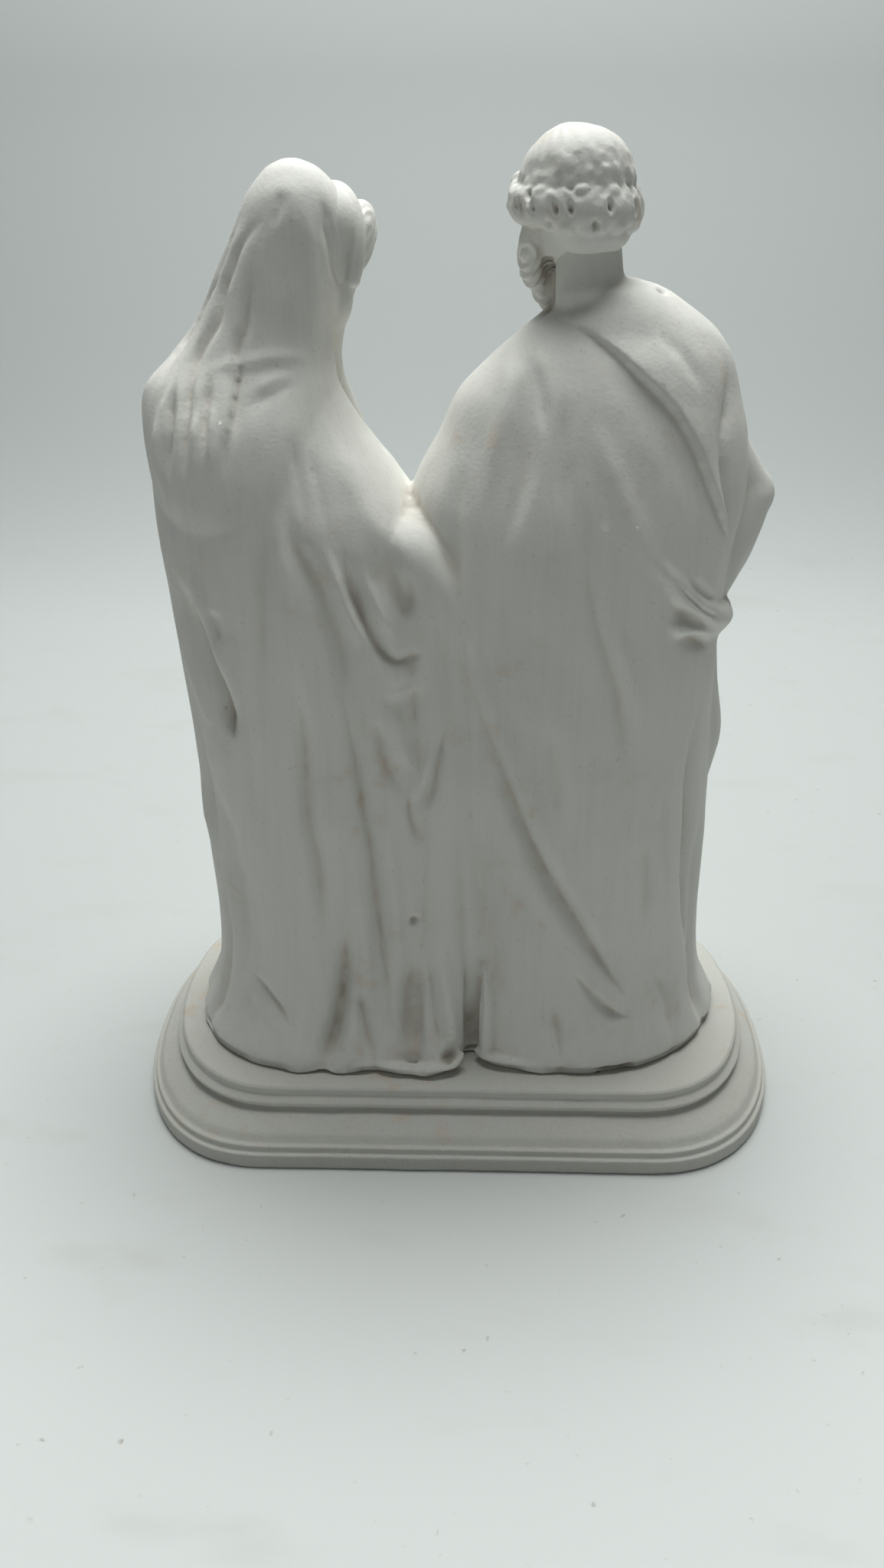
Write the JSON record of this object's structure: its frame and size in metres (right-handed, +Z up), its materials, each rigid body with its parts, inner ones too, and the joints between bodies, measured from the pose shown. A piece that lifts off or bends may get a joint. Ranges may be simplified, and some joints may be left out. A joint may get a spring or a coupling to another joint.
{
  "type": "holy family figurine",
  "caption": "Cast white stone group of a veiled mother, a bearded father and the child they hold, standing on a moulded plinth with round ends.",
  "frame": {"origin": "middle of the plinth's underside", "axes": "+Z up, -Y the way the family faces, +X towards the mother's side"},
  "size_m": [0.2198, 0.1298, 0.2999],
  "materials": {
    "white_stone": "matt cast marble composition, softened by handling, with dirt in the folds and a few air-bubble pits",
    "plinth_stone": "the same matt composition, slightly yellower and rubbed along its mouldings"
  },
  "bodies": {
    "root": {"family_group": "white_stone", "plinth": "plinth_stone"}
  },
  "joints": []
}
